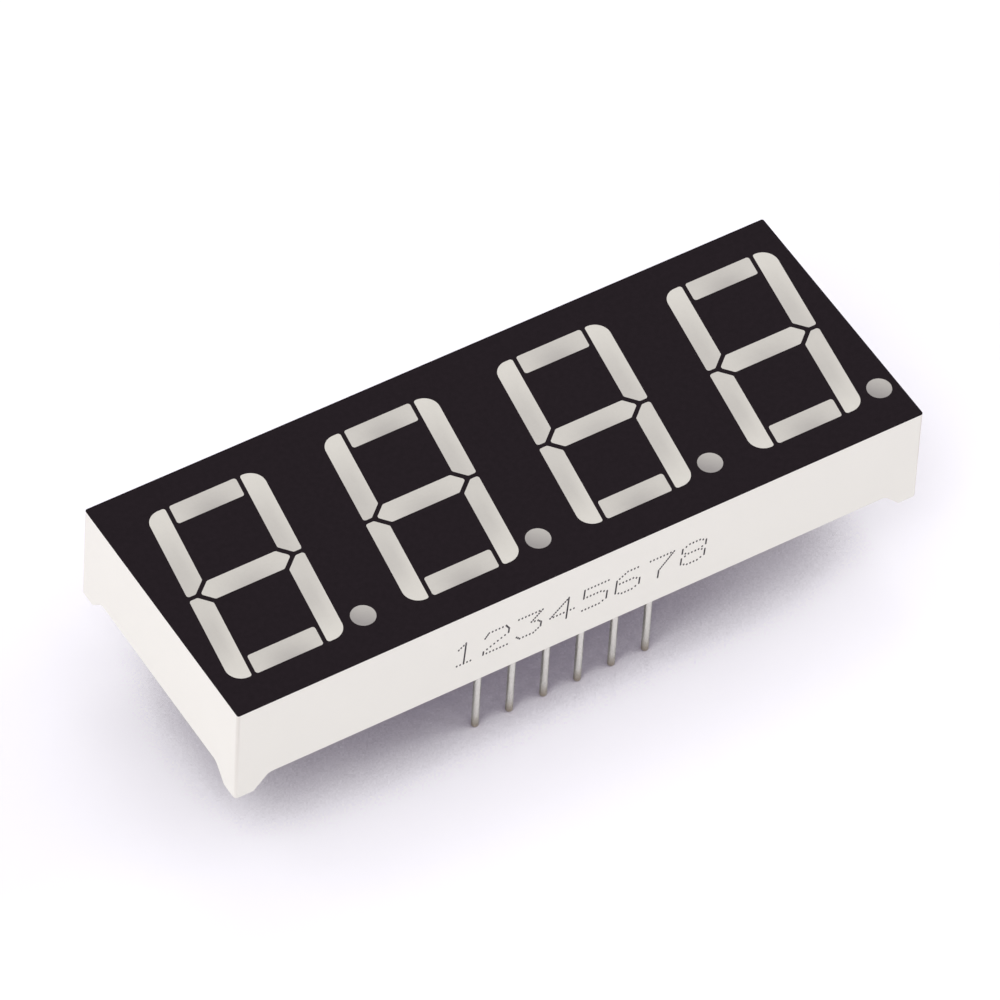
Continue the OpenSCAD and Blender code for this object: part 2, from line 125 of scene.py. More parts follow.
class DisplayMoulding(PropertyGroup):
    """White reflector moulding."""

    colour: colour_property("Colour", "Colour of the white plastic", (0.87, 0.836, 0.806))
    edge_round: length_property(
        "Edge rounding", "Width of the softened rim and foot edges", 0.07 * MM
    )
    roughness: share_property("Roughness", "Roughness of the moulded skin", 0.5)
    # Painted shade: a darker colour along the rounded upright edges, and the insets that it fades
    # over
    edge_shade_colour: colour_property(
        "Upright edges", "Colour of the rounded upright edges", (0.75, 0.702, 0.676)
    )
    edge_shade_middle: length_property(
        "Edge middle", "Inset of the middle of a rounded upright edge", 0.1 * MM
    )
    edge_shade_width: length_property(
        "Edge width", "Inset where the colour of an upright edge has faded out", 0.24 * MM
    )


class DisplayCoat(PropertyGroup):
    """Black coat on the face."""

    colour: colour_property("Colour", "Colour of the black coat", (0.0136, 0.0092, 0.0121))
    roughness: share_property("Roughness", "Roughness of the coat", 0.72)


class DisplayResin(PropertyGroup):
    """Milky resin in the windows and behind the board."""

    # Pale and Deep are the two ends of the windows' painted shade
    pale: colour_property("Pale", "Colour at the pale ends of a window", (0.632, 0.602, 0.558))
    deep: colour_property("Deep", "Colour over the deepest part of a cup", (0.276, 0.254, 0.248))
    dish: length_property("Dish", "How far the resin sinks in the middle of a window", 0.02 * MM)
    dish_edge: length_property("Dish edge", "Width over which the dish sinks to depth", 0.5 * MM)
    mesh_step: length_property("Mesh step", "Widest spacing of the points on a window", 0.24 * MM)
    climb: length_property("Climb", "How far the resin climbs the wall and the pins", 0.16 * MM)
    climb_width: length_property("Climb width", "Width of the resin's climbing edge", 0.26 * MM)
    back: colour_property("Back", "Colour of the resin behind the board", (0.62, 0.60, 0.54))
    back_veil: share_property("Veil", "How much one surface of the back resin hides", 0.34)


class DisplayPins(PropertyGroup):
    """Tinned pins."""

    colour: colour_property("Colour", "Colour of the tin", (0.89, 0.86, 0.85))
    tip: colour_property("Tip", "Colour of the cut ends", (0.56, 0.49, 0.43))
    tip_height: length_property("Tip height", "Height over which the tip's colour fades", 1.5 * MM)


class DisplayMark(PropertyGroup):
    """Dotted numbers on the long side."""

    text: StringProperty(name="Numbers", description="Plain digits to print", default="12345678")
    ink: colour_property("Ink", "Colour of the ink", (0.030, 0.022, 0.032))
    first: length_property("Margin", "Distance from the middle to the first number", 9.65 * MM)
    pitch: length_property("Pitch", "Distance between numbers", 2.42 * MM)
    drop: length_property("Drop", "Distance from the face down to the numbers", 2.72 * MM)
    column_step: length_property("Column step", "Distance between dots along the side", 0.25 * MM)
    row_step: length_property("Row step", "Distance between dots up the side", 0.125 * MM)
    dot_width: length_property("Dot width", "Width of a dot along the side", 0.155 * MM)
    dot_height: length_property("Dot height", "Height of a dot up the side", 0.21 * MM)
    film: length_property("Film", "How far the ink stands proud of the side", 0.005 * MM)
    lean: FloatProperty(
        name="Lean", description="Lean of the numbers", subtype="ANGLE", default=math.radians(4)
    )


class DisplayStage(PropertyGroup):
    """Camera, floor and lamps."""

    lens: FloatProperty(name="Lens", description="Focal length", unit="CAMERA", default=311.59)
    distance: length_property("Distance", "From the camera to the point it looks at", 541.93 * MM)
    turn: FloatProperty(
        name="Turn", description="Camera's turn round the module", subtype="ANGLE",
        default=math.radians(34.094),
    )
    height: FloatProperty(
        name="Height", description="Camera's angle above the floor", subtype="ANGLE",
        default=math.radians(49.685),
    )
    roll: FloatProperty(
        name="Roll", description="Camera's roll", subtype="ANGLE", default=math.radians(3.673)
    )
    aim_x: FloatProperty(
        name="Aim X", description="Point looked at", unit="LENGTH", default=-2.048 * MM
    )
    aim_y: FloatProperty(
        name="Aim Y", description="Point looked at", unit="LENGTH", default=-2.501 * MM
    )
    sky: FloatProperty(
        name="Sky", description="Strength of the soft light all round", default=0.645
    )
    lamps: FloatProperty(
        name="Lamps", description="Strength of all the lamps together", default=1.0
    )


SETTINGS = {
    "display_moulding": DisplayMoulding,
    "display_coat": DisplayCoat,
    "display_resin": DisplayResin,
    "display_pins": DisplayPins,
    "display_mark": DisplayMark,
    "display_stage": DisplayStage,
}


# ---- Nodes ---------------------------------------------------------------------


def add_node(tree, kind, inputs=None, **settings):
    """A node with its settings, its inputs set to a value or linked from a socket."""
    node = tree.nodes.new(kind)
    # The settings come first, because a group's sockets come with its tree
    for name, value in settings.items():
        setattr(node, name, value)
    for name, value in (inputs or {}).items():
        if isinstance(value, bpy.types.NodeSocket):
            tree.links.new(value, node.inputs[name])
        else:
            node.inputs[name].default_value = value
    return node


def math_node(tree, operation, first, second=0.0):
    """The result of one operation on values or sockets."""
    return add_node(tree, "ShaderNodeMath", {0: first, 1: second}, operation=operation).outputs[0]


def mixed(tree, mask, first, second):
    """A colour between two, by a mask."""
    # The node has a set of sockets for each type, and these are the colour's
    node = add_node(tree, "ShaderNodeMix", {0: mask, 6: first, 7: second}, data_type="RGBA")
    return node.outputs[2]


def ranged(tree, value, low, high):
    """A 0 to 1 value, spread from low to high."""
    node = add_node(
        tree, "ShaderNodeMapRange", {"Value": value, "To Min": low, "To Max": high}
    )
    return node.outputs["Result"]


def opaque(colour):
    """A colour with full alpha, as a colour socket wants it."""
    return (*colour, 1.0)


def new_group(name, inputs, outputs):
    """An empty node group with its sockets, and its two end nodes."""
    group = bpy.data.node_groups.new(name, "ShaderNodeTree")
    for label, (kind, default) in inputs.items():
        socket = group.interface.new_socket(name=label, in_out="INPUT", socket_type=kind)
        if default is not None:
            socket.default_value = default
    for label, kind in outputs.items():
        group.interface.new_socket(name=label, in_out="OUTPUT", socket_type=kind)
    return group, group.nodes.new("NodeGroupInput"), group.nodes.new("NodeGroupOutput")


# The pits of a skin are wider than its grain, and shallower
PIT_SCALE = 0.6
PIT_DEPTH = 0.35


def grain_group():
    """Fine grain of a moulded, printed or cast skin."""
    group, start, end = new_group(
        "Fine grain",
        {"Vector": ("NodeSocketVector", None), "Size": ("NodeSocketFloat", 0.1 * MM)},
        {"Height": "NodeSocketFloat"},
    )
    scale = math_node(group, "DIVIDE", 1.0, start.outputs["Size"])
    coarse = add_node(
        group, "ShaderNodeTexNoise",
        {"Vector": start.outputs["Vector"], "Scale": scale, "Detail": 3.0, "Roughness": 0.6},
    )
    pit_scale = math_node(group, "MULTIPLY", scale, PIT_SCALE)
    pits = add_node(
        group, "ShaderNodeTexVoronoi", {"Vector": start.outputs["Vector"], "Scale": pit_scale}
    )
    shallow = math_node(group, "MULTIPLY", pits.outputs["Distance"], PIT_DEPTH)
    height = math_node(group, "ADD", coarse.outputs["Fac"], shallow)
    group.links.new(height, end.inputs["Height"])
    return group


def mottle_group():
    """A colour that is uneven by a small amount in soft patches."""
    group, start, end = new_group(
        "Soft mottle",
        {
            "Vector": ("NodeSocketVector", None),
            "Color": ("NodeSocketColor", None),
            "Size": ("NodeSocketFloat", 1.0 * MM),
            "Amount": ("NodeSocketFloat", 0.05),
        },
        {"Color": "NodeSocketColor"},
    )
    noise = add_node(
        group, "ShaderNodeTexNoise",
        {
            "Vector": start.outputs["Vector"],
            "Scale": math_node(group, "DIVIDE", 1.0, start.outputs["Size"]),
            "Detail": 2.0,
        },
    )
    # The noise lies round a half, and the swing is -1 to 1 times the amount
    swing = math_node(group, "SUBTRACT", noise.outputs["Fac"], 0.5)
    swing = math_node(group, "MULTIPLY", swing, 2.0)
    swing = math_node(group, "MULTIPLY", swing, start.outputs["Amount"])
    shade = add_node(
        group, "ShaderNodeHueSaturation",
        {"Value": math_node(group, "ADD", swing, 1.0), "Color": start.outputs["Color"]},
    )
    group.links.new(shade.outputs["Color"], end.inputs["Color"])
    return group


def streaks_group():
    """Fine lines along Z, as drawing leaves on a wire."""
    group, start, end = new_group(
        "Drawn streaks",
        {
            "Vector": ("NodeSocketVector", None),
            "Width": ("NodeSocketFloat", 0.04 * MM),
            "Stretch": ("NodeSocketFloat", 30.0),
        },
        {"Mask": "NodeSocketFloat"},
    )
    split = add_node(group, "ShaderNodeSeparateXYZ", {"Vector": start.outputs["Vector"]})
    squeezed = add_node(
        group, "ShaderNodeCombineXYZ",
        {
            "X": split.outputs["X"],
            "Y": split.outputs["Y"],
            "Z": math_node(group, "DIVIDE", split.outputs["Z"], start.outputs["Stretch"]),
        },
    )
    noise = add_node(
        group, "ShaderNodeTexNoise",
        {
            "Vector": squeezed.outputs["Vector"],
            "Scale": math_node(group, "DIVIDE", 1.0, start.outputs["Width"]),
            "Detail": 2.0,
        },
    )
    group.links.new(noise.outputs["Fac"], end.inputs["Mask"])
    return group


def fade_group():
    """1 at or below Low, falling to 0 at or above High."""
    group, start, end = new_group(
        "Height fade",
        {
            "Vector": ("NodeSocketVector", None),
            "Low": ("NodeSocketFloat", 0.0),
            "High": ("NodeSocketFloat", 1.0 * MM),
        },
        {"Mask": "NodeSocketFloat"},
    )
    split = add_node(group, "ShaderNodeSeparateXYZ", {"Vector": start.outputs["Vector"]})
    fade = add_node(
        group, "ShaderNodeMapRange",
        {
            "Value": split.outputs["Z"],
            "From Min": start.outputs["Low"],
            "From Max": start.outputs["High"],
            "To Min": 1.0,
            "To Max": 0.0,
        },
        interpolation_type="SMOOTHSTEP",
    )
    group.links.new(fade.outputs["Result"], end.inputs["Mask"])
    return group


GROUPS = {
    "Fine grain": grain_group,
    "Soft mottle": mottle_group,
    "Drawn streaks": streaks_group,
    "Height fade": fade_group,
}


def place_effect(tree, name, output, **inputs):
    """Places a shared effect with its own values, and gives one output. A group is built once."""
    group = bpy.data.node_groups.get(name) or GROUPS[name]()
    return add_node(tree, "ShaderNodeGroup", inputs, node_tree=group).outputs[output]


def plain_material(name, **constants):
    """A material with a Principled shader, and some of the shader's sockets set."""
    material = bpy.data.materials.new(name)
    material.use_nodes = True
    tree = material.node_tree
    shader = tree.nodes["Principled BSDF"]
    for label, value in constants.items():
        shader.inputs[label.replace("_", " ")].default_value = value
    return material, tree, shader


def start_material(name, **constants):
    """A plain material, with the piece's own coordinates to place its patterns by."""
    material, tree, shader = plain_material(name, **constants)
    return material, tree, shader, tree.nodes.new("ShaderNodeTexCoord").outputs["Object"]


def add_bump(tree, shader, height, distance):
    """Feeds Normal with a bump of a height that swings over a distance."""
    bump = add_node(tree, "ShaderNodeBump", {"Height": height, "Distance": distance})
    tree.links.new(bump.outputs["Normal"], shader.inputs["Normal"])


def link_colour(tree, shader, coordinates, colour, size, amount):
    """Feeds Base Color with a colour in soft patches."""
    patches = place_effect(
        tree, "Soft mottle", "Color", Vector=coordinates, Color=colour, Size=size, Amount=amount
    )
    tree.links.new(patches, shader.inputs["Base Color"])


def link_roughness(tree, shader, mask, middle, swing):
    """Feeds Roughness with a value that a mask swings to both sides of its middle."""
    tree.links.new(ranged(tree, mask, middle - swing, middle + swing), shader.inputs["Roughness"])


# ---- Materials -------------------------------------------------------------------


def edge_shade_mask(tree, place, middle, width):
    """Mask of the painted edge shade: 1 on the middle of the rounded upright edges, and 0 from a
    width beside them.
    """
    split = add_node(tree, "ShaderNodeSeparateXYZ", {"Vector": place})
    across = math_node(
        tree, "ADD",
        math_node(tree, "ABSOLUTE", split.outputs["X"]),
        math_node(tree, "ABSOLUTE", split.outputs["Y"]),
    )
    # The walls lean, so the corner that they would meet in moves out towards the feet
    foot = SHELL_HIGH.x + SHELL_HIGH.y
    slope = (FACE_HIGH.x + FACE_HIGH.y - foot) / (FACE_HIGH.z - SHELL_LOW.z)
    moved = math_node(tree, "MULTIPLY", split.outputs["Z"], slope)
    reach = math_node(tree, "ADD", moved, foot - slope * SHELL_LOW.z)
    inset = math_node(tree, "SUBTRACT", reach, across)
    mask = add_node(
        tree, "ShaderNodeMapRange", {"Value": inset, "From Min": width, "From Max": middle},
        interpolation_type="SMOOTHSTEP",
    )
    return mask.outputs["Result"]


def plastic_material(settings):
    """White moulded plastic with a fine satin skin, and painted shade along its rounded upright
    edges.
    """
    material, tree, shader, place = start_material("white moulding")
    # Painted shade: the rounded upright edges get a darker colour
    edges = edge_shade_mask(tree, place, settings.edge_shade_middle, settings.edge_shade_width)
    white = mixed(tree, edges, opaque(settings.colour), opaque(settings.edge_shade_colour))
    link_colour(tree, shader, place, white, size=4 * MM, amount=0.012)
    grain = place_effect(tree, "Fine grain", "Height", Vector=place, Size=0.12 * MM)
    link_roughness(tree, shader, grain, settings.roughness, swing=0.06)
    add_bump(tree, shader, grain, distance=0.004 * MM)
    return material


def coat_material(settings):
    """Matt black coat with a fine printed grain."""
    material, tree, shader, place = start_material("black coat", Specular_IOR_Level=0.05)
    link_colour(tree, shader, place, opaque(settings.colour), size=0.35 * MM, amount=0.22)
    grain = place_effect(tree, "Fine grain", "Height", Vector=place, Size=0.09 * MM)
    link_roughness(tree, shader, grain, settings.roughness, swing=0.08)
    add_bump(tree, shader, grain, distance=0.006 * MM)
    return material


def window_material(settings):
    """Milky resin with the painted shade of the deep cup under it: paler at the ends, greyer over
    the chip.
    """
    material, tree, shader, place = start_material("milky resin", Roughness=0.42)
    # The depth attribute carries the painted shade of the cups, from the pale to the deep colour
    depth = add_node(tree, "ShaderNodeAttribute", attribute_name="depth")
    shade = mixed(tree, depth.outputs["Fac"], opaque(settings.pale), opaque(settings.deep))
    patches = place_effect(
        tree, "Soft mottle", "Color", Vector=place, Color=shade, Size=0.5 * MM, Amount=0.025
    )
    link_colour(tree, shader, place, patches, size=0.1 * MM, amount=0.03)
    grain = place_effect(tree, "Fine grain", "Height", Vector=place, Size=0.16 * MM)
    add_bump(tree, shader, grain, distance=0.003 * MM)
    return material


def back_resin_material(settings):
    """A milky veil of resin over the back of the board."""
    material, tree, shader, place = start_material("milky resin, back", Roughness=0.16)
    link_colour(tree, shader, place, opaque(settings.back), size=2.5 * MM, amount=0.04)
    cloud = 1.6 * MM
    veil = add_node(
        tree, "ShaderNodeTexNoise", {"Vector": place, "Scale": 1 / cloud, "Detail": 2.0}
    )
    swing = 0.06
    alpha = ranged(
        tree, veil.outputs["Fac"], settings.back_veil - swing, settings.back_veil + swing
    )
    tree.links.new(alpha, shader.inputs["Alpha"])
    ripple = place_effect(tree, "Fine grain", "Height", Vector=place, Size=3 * MM)
    add_bump(tree, shader, ripple, distance=0.03 * MM)
    return material


def laminate_material():
    """Cream glass laminate with its weave."""
    material, tree, shader, place = start_material("board laminate", Roughness=0.55)
    yarn = 3.2 * MM
    bands = []
    for direction in ("X", "Y"):
        wave = add_node(
            tree, "ShaderNodeTexWave",
            {"Vector": place, "Scale": 1 / yarn, "Distortion": 0.6, "Detail": 1.0},
            bands_direction=direction,
        )
        bands.append(wave.outputs["Fac"])
    weave = math_node(tree, "MULTIPLY", *bands)
    cloth = mixed(tree, weave, opaque((0.50, 0.47, 0.31)), opaque((0.58, 0.55, 0.39)))
    link_colour(tree, shader, place, cloth, size=3 * MM, amount=0.05)
    add_bump(tree, shader, weave, distance=0.01 * MM)
    return material


# Depth of a metal's grain for each unit of its size
GRAIN_DEPTH = 0.03


def metal_material(name, colour, roughness, patch, amount, grain_size):
    """A metal with soft patches of tarnish and a fine uneven skin."""
    material, tree, shader, place = start_material(name, Metallic=1.0)
    link_colour(tree, shader, place, opaque(colour), size=patch, amount=amount)
    grain = place_effect(tree, "Fine grain", "Height", Vector=place, Size=grain_size)
    link_roughness(tree, shader, grain, roughness, swing=0.1)
    add_bump(tree, shader, grain, distance=grain_size * GRAIN_DEPTH)
    return material


def wire_material():
    """Gold bond wire with drawn lines."""
    material, tree, shader, place = start_material("gold wire", Metallic=1.0)
    streaks = place_effect(
        tree, "Drawn streaks", "Mask", Vector=place, Width=0.006 * MM, Stretch=8.0
    )
    colour = mixed(tree, streaks, opaque((0.86, 0.62, 0.27)), opaque((0.95, 0.74, 0.40)))
    tree.links.new(colour, shader.inputs["Base Color"])
    link_roughness(tree, shader, streaks, middle=0.22, swing=0.06)
    return material


def chip_material():
    """Red chip with a thin gold pad on top."""
    material, tree, shader, place = start_material("led chip", Roughness=0.3)
    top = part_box(CHIPS[0])[1].z
    pad = 0.004 * MM
    body = place_effect(
        tree, "Height fade", "Mask", Vector=place, Low=top - 3 * pad, High=top - pad
    )
    colour = mixed(tree, body, opaque((0.83, 0.60, 0.28)), opaque((0.38, 0.07, 0.045)))
    link_colour(tree, shader, place, colour, size=0.05 * MM, amount=0.12)
    tree.links.new(math_node(tree, "SUBTRACT", 1.0, body), shader.inputs["Metallic"])
    return material


# Shares of the tin's colour in its dull and its bright streaks
STREAK_GAINS = (0.88, 1.06)


def pin_material(settings):
    """Tinned wire with drawn lines, duller and browner at its cut end."""
    material, tree, shader, place = start_material("tinned pin", Metallic=1.0)
    streaks = place_effect(
        tree, "Drawn streaks", "Mask", Vector=place, Width=0.05 * MM, Stretch=25.0
    )
    tip = place_effect(
        tree, "Height fade", "Mask", Vector=place, Low=0.1 * MM, High=settings.tip_height
    )
    dull, bright = ([min(1.0, c * gain) for c in settings.colour] for gain in STREAK_GAINS)
    tin = mixed(tree, streaks, opaque(dull), opaque(bright))
    colour = mixed(tree, tip, tin, opaque(settings.tip))
    link_colour(tree, shader, place, colour, size=0.4 * MM, amount=0.07)
    link_roughness(tree, shader, streaks, middle=0.26, swing=0.06)
    add_bump(tree, shader, streaks, distance=0.003 * MM)
    return material


def ink_material(settings):
    """Dull ink, uneven in its darkness."""
    material, tree, shader, place = start_material("grey ink", Roughness=0.65)
    link_colour(tree, shader, place, opaque(settings.ink), size=0.2 * MM, amount=0.3)
    return material


# ---- Mesh helpers ------------------------------------------------------------------


def merged_copy(node):
    """A welded copy of a CAD node."""
    mesh = bmesh.new()
    mesh.from_mesh(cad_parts[node].data)
    bmesh.ops.remove_doubles(mesh, verts=mesh.verts, dist=WELD)
    return mesh


def cut_level(mesh, height, **cleared):
    """Cuts the whole mesh at a height, clears one side, and gives the edges left open."""
    geometry = [*mesh.verts, *mesh.edges, *mesh.faces]
    bmesh.ops.bisect_plane(
        mesh, geom=geometry, dist=0, plane_co=(0, 0, height), plane_no=(0, 0, 1), **cleared
    )
    return [edge for edge in mesh.edges if edge.is_boundary]


def level_faces(mesh, height, facing):
    """The flat faces at a height that face up (1) or down (-1)."""
    return [
        face for face in mesh.faces
        if face.normal.z * facing > STEEP and abs(face.calc_center_median().z - height) < FLAT
    ]


def sharpen(mesh, angle):
    """Smooth shading, except across edges that turn by more than the angle."""
    for face in mesh.faces:
        face.smooth = True
    for edge in mesh.edges:
        edge.smooth = edge.is_manifold and edge.calc_face_angle(0.0) < angle


def finished_piece(name, mesh, material, replaced=()):
    """Makes the piece's object at the origin, hangs it on its body, and hides the CAD nodes it
    replaces.
    """
    loose = [edge for edge in mesh.edges if not edge.is_manifold]
    if loose:
        raise RuntimeError(f"{name} isn't closed: {len(loose)} open edges")
    data = bpy.data.meshes.new(name)
    mesh.to_mesh(data)
    mesh.free()
    data.materials.append(material)
    piece = bpy.data.objects.new(name, data)
    bpy.context.scene.collection.objects.link(piece)
    weighted = piece.modifiers.new("Weighted normals", "WEIGHTED_NORMAL")
    weighted.keep_sharp = True
    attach(piece, BODY)
    if replaced:
        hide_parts(*replaced)


def finish_node(name, material):
    """Gives a CAD node its material."""
    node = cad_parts[name]
    node.data.materials.clear()
    node.data.materials.append(material)


# ---- Pieces --------------------------------------------------------------------------


def build_moulding(settings):
    """The white moulding, its back rim and feet softened as a mould leaves them."""
    mesh = merged_copy("reflector_shell")
    coplanar = math.radians(0.5)
    bmesh.ops.dissolve_limit(
        mesh, angle_limit=coplanar, verts=mesh.verts, edges=mesh.edges, delimit={"NORMAL"}
    )
    crease = math.radians(35)
    outer = [
        edge for edge in mesh.edges
        if edge.is_manifold
        and edge.calc_face_angle(0.0) > crease
        and all(vert.co.z < RESIN_LOW.z for vert in edge.verts)
    ]
    bmesh.ops.bevel(
        mesh, geom=outer, offset=settings.edge_round, offset_type="OFFSET", segments=2,
        profile=0.5, affect="EDGES", clamp_overlap=True, material=-1,
    )
    sharpen(mesh, angle=math.radians(32))
    finished_piece(
        "moulding", mesh, plastic_material(settings), ["reflector_shell"]
    )


def window_kind(middle):
    """Which segment a window belongs to: the one whose chip is nearest."""
    nearest = min(CHIPS, key=lambda name: (CHIP_MIDDLES[name] - middle.xy).length)
    return nearest.removeprefix("led_chip_")[1:]


# The segments that stand up with their digit
UPRIGHTS = ("b", "c", "e", "f")
# How each window looks: its tint all over, how much greyer its painted shade is over its chip, and
# how far that grey patch lies towards the digit's outer end. A place in a window is -1 to 1 both
# ways.
WINDOW_SHADES = {
    "a": (0.235, 0.40, 0.0),
    "b": (0.11, 0.36, -0.3),
    "c": (0.11, 0.43, 0.0),
    "d": (0.235, 0.40, 0.0),
    "e": (0.11, 0.43, 0.0),
    "f": (0.11, 0.36, -0.3),
    "g": (0.16, 0.34, 0.0),
}
# A dot's painted shade at its middle, and how much it falls towards its far right side
DOT_SHADE = 0.80
DOT_SLOPE = 0.20
# An upright's painted shade is paler towards its outer end
OUTER_SLOPE = 0.13
# The painted grey patch's share at the middle of the window's width, and how it fades to each side
PATCH_SHARE = 0.61
UPRIGHT_FADE = 0.57
BAR_FADE = 0.44


def painted_window_shade(kind, along, across):
    """Painted shade of the cup at a place in its window: 0 where it is palest, 1 where greyest."""
    if kind == "dp":
        return DOT_SHADE - DOT_SLOPE * (along + across)
    tint, patch, centre = WINDOW_SHADES[kind]
    upright = kind in UPRIGHTS
    outer = -along if kind in ("c", "e") else along
    away = min(1.0, abs(outer - centre) / (1 + abs(centre)))
    share = PATCH_SHARE - (UPRIGHT_FADE * max(across, 0.0) if upright else BAR_FADE * across)
    slope = OUTER_SLOPE * outer if upright else 0.0
    return tint - slope + patch * share * math.cos(away * math.pi / 2) ** 2


def cut_by_grid(mesh, face, low, high, step):
    """Cuts a flat face by a grid no coarser than a step, and gives the faces that it becomes."""
    geometry = [*face.verts, *face.edges, face]
    for axis in (0, 1):
        count = math.ceil((high[axis] - low[axis]) / step)
        normal = [float(i == axis) for i in range(3)]
        for i in range(1, count):
            spot = low.copy()
            spot[axis] += (high[axis] - low[axis]) * i / count
            cut = bmesh.ops.bisect_plane(
                mesh, geom=geometry, dist=WELD, plane_co=spot, plane_no=normal
            )
            geometry = list(dict.fromkeys([*cut["geom"], *cut["geom_cut"]]))
    return [item for item in geometry if isinstance(item, bmesh.types.BMFace)]


def rim_tree(verts, faces):
    """A search tree of the points on the outline of some faces."""
    inside = set(faces)
    rim = [vert for vert in verts if any(face not in inside for face in vert.link_faces)]
    tree = KDTree(len(rim))
    for i, vert in enumerate(rim):
        tree.insert(vert.co, i)
    tree.balance()
    return tree


def shape_window(mesh, top, layer, settings):
    """Cuts a window's face by a fine grid, dishes it and notes the painted shade of its cup."""
    low, high = (
        Vector([pick(vert.co[i] for vert in top.verts) for i in range(3)]) for pick in (min, max)
    )
    middle = (low + high) / 2
    half = (high - low) / 2
    kind = window_kind(middle)
    lean = 0.0
    if kind in UPRIGHTS:
        lean = DIGIT_LEAN
        half.x -= half.y * lean
    faces = cut_by_grid(mesh, top, low, high, settings.mesh_step)
    verts = list(dict.fromkeys(vert for face in faces for vert in face.verts))
    rim = rim_tree(verts, faces)
    for vert in verts:
        place = vert.co - middle
        x = (place.x - lean * place.y) / half.x
        y = place.y / half.y
        along, across = (y, x) if kind in UPRIGHTS else (x, y)
        vert[layer] = painted_window_shade(kind, along, across)
        _, _, gap = rim.find(vert.co)
        sunk = min(1.0, gap / settings.dish_edge)
        vert.co.z -= settings.dish * sunk * sunk * (3 - 2 * sunk)


# The cups' resin is cut off this far above the bond wires
RESIN_MARGIN = 0.1 * MM


def build_windows(settings):
    """The resin in the 32 cups, cut just above the bond wires, with a slightly dished face."""
    mesh = merged_copy("epoxy_fill")
    open_edges = cut_level(mesh, WIRE_TOP + RESIN_MARGIN, clear_inner=True)
    bmesh.ops.holes_fill(mesh, edges=open_edges)
    bmesh.ops.dissolve_faces(mesh, faces=level_faces(mesh, RESIN_HIGH.z, facing=1))
    # The depth attribute holds painted shade; the hidden sides take the greyest
    layer = mesh.verts.layers.float.new("depth")
    for vert in mesh.verts:
        vert[layer] = 1.0
    for top in level_faces(mesh, RESIN_HIGH.z, facing=1):
        shape_window(mesh, top, layer, settings)
    sharpen(mesh, angle=math.radians(40))
    finished_piece(
        "window_resin", mesh, window_material(settings), ["epoxy_fill"]
    )


# The back resin starts this far below the copper
COPPER_MARGIN = 0.05 * MM
# Widths in mm of the rings of faces that carry the climbing edge, from each edge inwards
CLIMB_RINGS = (0.04, 0.06, 0.08, 0.1, 0.14, 0.16)


def build_back_resin(settings):
    """The resin behind the board, which climbs the wall and the pins a little."""
    mesh = merged_copy("epoxy_fill")
    open_edges = cut_level(mesh, COPPER_LOW.z - COPPER_MARGIN, clear_outer=True)
    bmesh.ops.triangle_fill(mesh, use_beauty=True, edges=open_edges, normal=(0, 0, 1))
    bmesh.ops.recalc_face_normals(mesh, faces=mesh.faces)
    lower = level_faces(mesh, RESIN_LOW.z, facing=-1)
    for width in CLIMB_RINGS:
        bmesh.ops.inset_region(
            mesh, faces=lower, thickness=width * MM, use_boundary=True, use_even_offset=False
        )
    pins = [box_middle(name).xy for name in PINS]
    pin_low, pin_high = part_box(PINS[0])
    pin_radius = (pin_high.x - pin_low.x) / 2
    for vert in mesh.verts:
        if abs(vert.co.z - RESIN_LOW.z) > FLAT:
            continue
        wall = min(RESIN_HIGH.x - abs(vert.co.x), RESIN_HIGH.y - abs(vert.co.y))
        pin = min((vert.co.xy - place).length for place in pins) - pin_radius
        rise = sum(math.exp(-max(gap, 0.0) / settings.climb_width) for gap in (wall, pin))
        vert.co.z -= settings.climb * min(rise, 1.0)
    sharpen(mesh, angle=math.radians(50))
    finished_piece("back_resin", mesh, back_resin_material(settings), ["epoxy_fill"])


# The plain numbers, as strokes on a grid of 8 columns and 16 rows, counted from 0
STROKES = {
    "1": [((2, 12), (4, 15)), ((4, 15), (4, 0)), ((2, 0), (6, 0))],
    "2": [((0, 12), (1, 15), (6, 15), (7, 12), (7, 9), (0, 2), (0, 0)), ((0, 0), (7, 0))],
    "3": [((0, 15), (7, 15), (4, 9), (6, 8), (7, 6), (7, 3), (5, 0), (1, 0), (0, 2))],
    "4": [((5, 0), (5, 15)), ((5, 15), (0, 5), (7, 5))],
    "5": [((7, 15), (0, 15), (0, 9)), ((0, 9), (5, 9), (7, 7), (7, 2), (5, 0), (0, 0))],
    "6": [((6, 15), (3, 15), (0, 11), (0, 2), (2, 0), (5, 0), (7, 2), (7, 6), (5, 8), (0, 8))],
    "7": [((0, 15), (7, 15), (3, 5), (3, 0))],
    "8": [((2, 8), (0, 10), (0, 13), (2, 15), (5, 15), (7, 13), (7, 10), (5, 8), (2, 8)),
          ((2, 8), (0, 6), (0, 2), (2, 0), (5, 0), (7, 2), (7, 6), (5, 8))],
    "9": [((1, 0), (4, 0), (7, 4), (7, 13), (5, 15), (2, 15), (0, 13), (0, 9), (2, 7), (7, 7))],
    "0": [((2, 0), (0, 3), (0, 12), (2, 15), (5, 15), (7, 12), (7, 3), (5, 0), (2, 0))],
}
TOP_ROW = 15
# A dot's share of its width that is left at its top
DOT_TAPER = 0.8


def dots_of(number):
    """Places of a number's dots, each once: one in each column or row that a stroke crosses."""
    found = []
    for stroke in STROKES[number]:
        for (x0, y0), (x1, y1) in zip(stroke, stroke[1:]):
            steps = max(abs(x1 - x0), abs(y1 - y0))
            for i in range(steps + 1):
                dot = (x0 + (x1 - x0) * i / steps, y0 + (y1 - y0) * i / steps)
                if dot not in found:
                    found.append(dot)
    return found


def side_frame():
    """Matrix of the leaning long side, at its upper middle: x along it, y up it and z outwards."""
    top = Vector((0, FACE_LOW.y, FACE_HIGH.z))
    foot = Vector((0, SHELL_LOW.y, SHELL_LOW.z))
    along = Vector((1, 0, 0))
    up = (top - foot).normalized()
    out = along.cross(up)
    turned = Matrix((along, up, out)).transposed().to_4x4()
    return Matrix.Translation(top) @ turned


